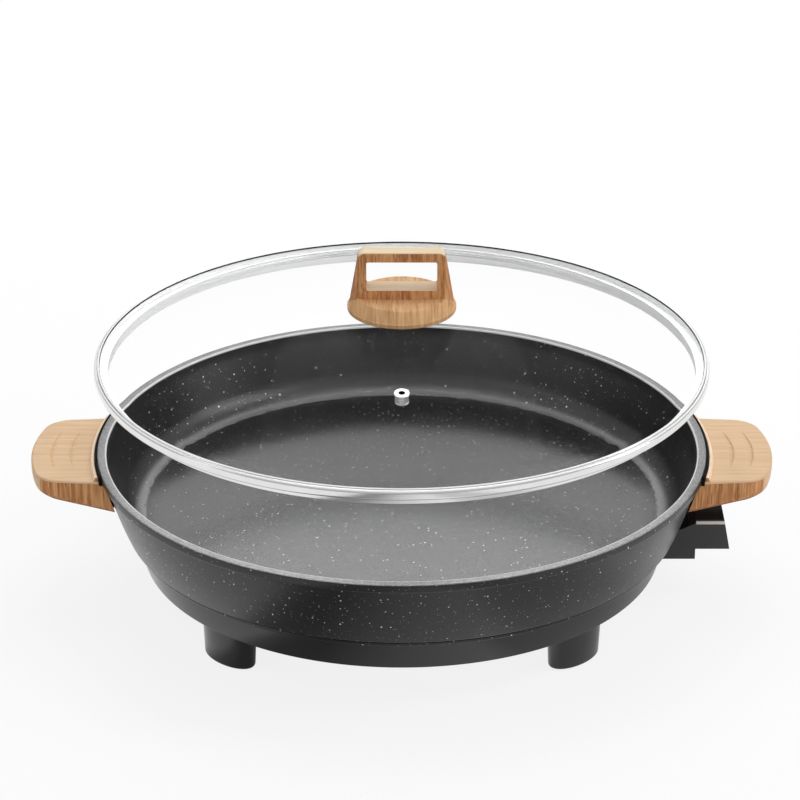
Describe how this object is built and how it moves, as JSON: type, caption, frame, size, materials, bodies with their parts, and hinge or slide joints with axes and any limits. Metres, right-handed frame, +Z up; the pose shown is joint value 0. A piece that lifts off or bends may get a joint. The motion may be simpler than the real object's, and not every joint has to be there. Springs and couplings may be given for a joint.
{
  "type": "electric cooking pan",
  "caption": "Round electric cooking pan with a domed glass lift-off lid, wood grips, a raised base on oblong feet and a side inlet for a plug-in heat control.",
  "frame": {"origin": "on the table, under the middle of the pan", "axes": "+Z up, +X along the grips towards the inlet, -Y towards the viewer of the picture"},
  "size_m": [0.39, 0.32, 0.1901],
  "materials": {
    "coated_cast_aluminium": "cast aluminium with a dark speckled non-stick coating",
    "heater_steel": "dull heat-stained tube",
    "ceramic": "unglazed insulator",
    "plated_pins": "bright nickel plate",
    "bare_aluminium": "bare drawn metal",
    "base_plastic": "satin dark moulding",
    "black_gloss_plastic": "glossy black moulding",
    "foot_rubber": "matt grip pad",
    "screw_steel": "zinc plate",
    "grip_wood": "pale oiled wood with straight grain",
    "guard_plastic": "matt black heat guard",
    "inlet_plastic": "heat-proof black moulding",
    "lid_glass": "clear tempered glass",
    "lid_steel": "polished rolled strip",
    "vent_steel": "bright",
    "gasket_rubber": "matt black",
    "seal_rubber": "pale silicone"
  },
  "bodies": {
    "cooker": {"pan_body": "coated_cast_aluminium", "heating_element": "heater_steel", "heater_seals": "ceramic", "terminal_pins": "plated_pins", "terminal_block": "ceramic", "probe_sleeve": "bare_aluminium", "base_ring": "base_plastic", "reflector_plate": "bare_aluminium", "foot_front_left": "black_gloss_plastic", "foot_front_right": "black_gloss_plastic", "foot_rear_left": "black_gloss_plastic", "foot_rear_right": "black_gloss_plastic", "foot_pad_front_left": "foot_rubber", "foot_pad_front_right": "foot_rubber", "foot_pad_rear_left": "foot_rubber", "foot_pad_rear_right": "foot_rubber", "foot_screws": "screw_steel", "handle_left": "grip_wood", "handle_right": "grip_wood", "handle_spacer_left": "guard_plastic", "handle_spacer_right": "guard_plastic", "handle_screws": "screw_steel", "inlet_shroud": "inlet_plastic", "inlet_screws": "screw_steel"},
    "lid": {"lid_glass": "lid_glass", "lid_rim": "lid_steel", "vent_eyelet": "vent_steel", "lid_knob": "grip_wood", "knob_gasket": "gasket_rubber", "lid_seal": "seal_rubber", "lid_washer": "screw_steel", "lid_screw": "screw_steel"}
  },
  "joints": [
    {"name": "lid_lift", "type": "slide", "parent": "cooker", "child": "lid", "axis": [0, 0, 1], "range_m": [-0.045, 0.12]}
  ]
}
